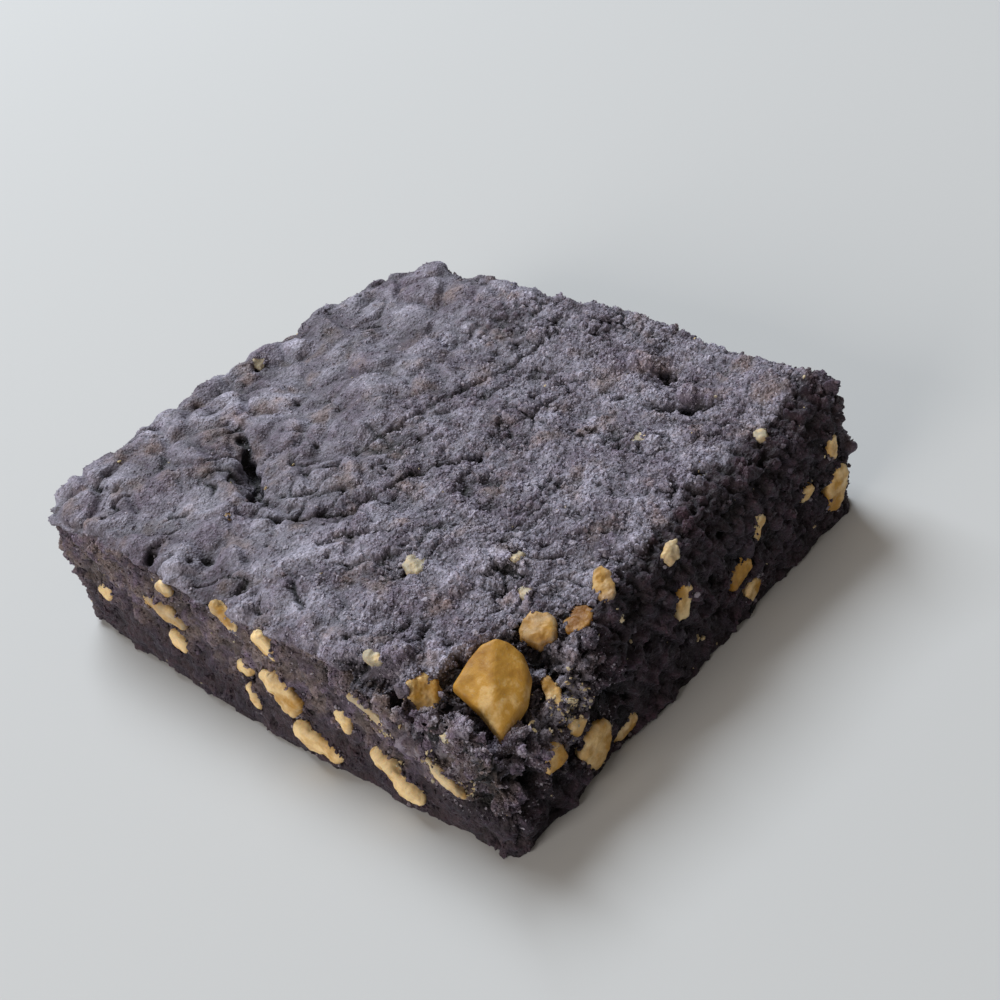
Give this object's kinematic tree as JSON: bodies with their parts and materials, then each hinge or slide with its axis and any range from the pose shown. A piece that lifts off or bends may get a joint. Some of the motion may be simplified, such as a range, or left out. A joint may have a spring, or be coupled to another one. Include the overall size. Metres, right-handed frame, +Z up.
{
  "type": "ube cashew brownie",
  "caption": "Hand-cut rectangular brownie, purple-grey with a crackled dusty crust, torn crumb sides and pale roasted cashew pieces, one large half showing in its broken corner.",
  "frame": {"origin": "middle of the flat underside, on the surface the brownie stands on", "axes": "+Z up through the crust, +Y along the longer cut sides, -X and -Y towards the two sides that meet at the broken corner"},
  "size_m": [0.0703, 0.0793, 0.0196],
  "materials": {
    "crumb": "baked purple yam crumb with a dry, dusty grey-violet crust",
    "cashew": "roasted cashew, golden skin and paler cut faces"
  },
  "bodies": {
    "root": {"brownie": "crumb", "cashew_corner": "cashew", "cashew_left_01": "cashew", "cashew_left_02": "cashew", "cashew_left_03": "cashew", "cashew_left_04": "cashew", "cashew_left_05": "cashew", "cashew_left_06": "cashew", "cashew_left_07": "cashew", "cashew_left_08": "cashew", "cashew_left_09": "cashew", "cashew_left_10": "cashew", "cashew_left_11": "cashew", "cashew_left_12": "cashew", "cashew_left_13": "cashew", "cashew_left_14": "cashew", "cashew_right_01": "cashew", "cashew_right_02": "cashew", "cashew_right_03": "cashew", "cashew_right_04": "cashew", "cashew_right_05": "cashew", "cashew_right_06": "cashew", "cashew_right_07": "cashew", "cashew_right_08": "cashew", "cashew_right_09": "cashew", "cashew_right_10": "cashew", "cashew_right_11": "cashew", "cashew_crust_01": "cashew", "cashew_crust_02": "cashew", "cashew_crust_03": "cashew", "cashew_crust_04": "cashew", "cashew_crust_05": "cashew", "cashew_crust_06": "cashew", "cashew_crust_07": "cashew", "cashew_crust_08": "cashew", "cashew_crust_09": "cashew", "cashew_crust_10": "cashew", "cashew_crust_11": "cashew", "cashew_crust_12": "cashew", "cashew_crust_13": "cashew", "cashew_crust_14": "cashew", "cashew_back_right_01": "cashew", "cashew_back_right_02": "cashew", "cashew_back_right_03": "cashew", "cashew_back_right_04": "cashew", "cashew_back_right_05": "cashew", "cashew_back_right_06": "cashew", "cashew_back_right_07": "cashew", "cashew_back_left_01": "cashew", "cashew_back_left_02": "cashew", "cashew_back_left_03": "cashew", "cashew_back_left_04": "cashew", "cashew_back_left_05": "cashew", "cashew_back_left_06": "cashew"}
  },
  "joints": []
}
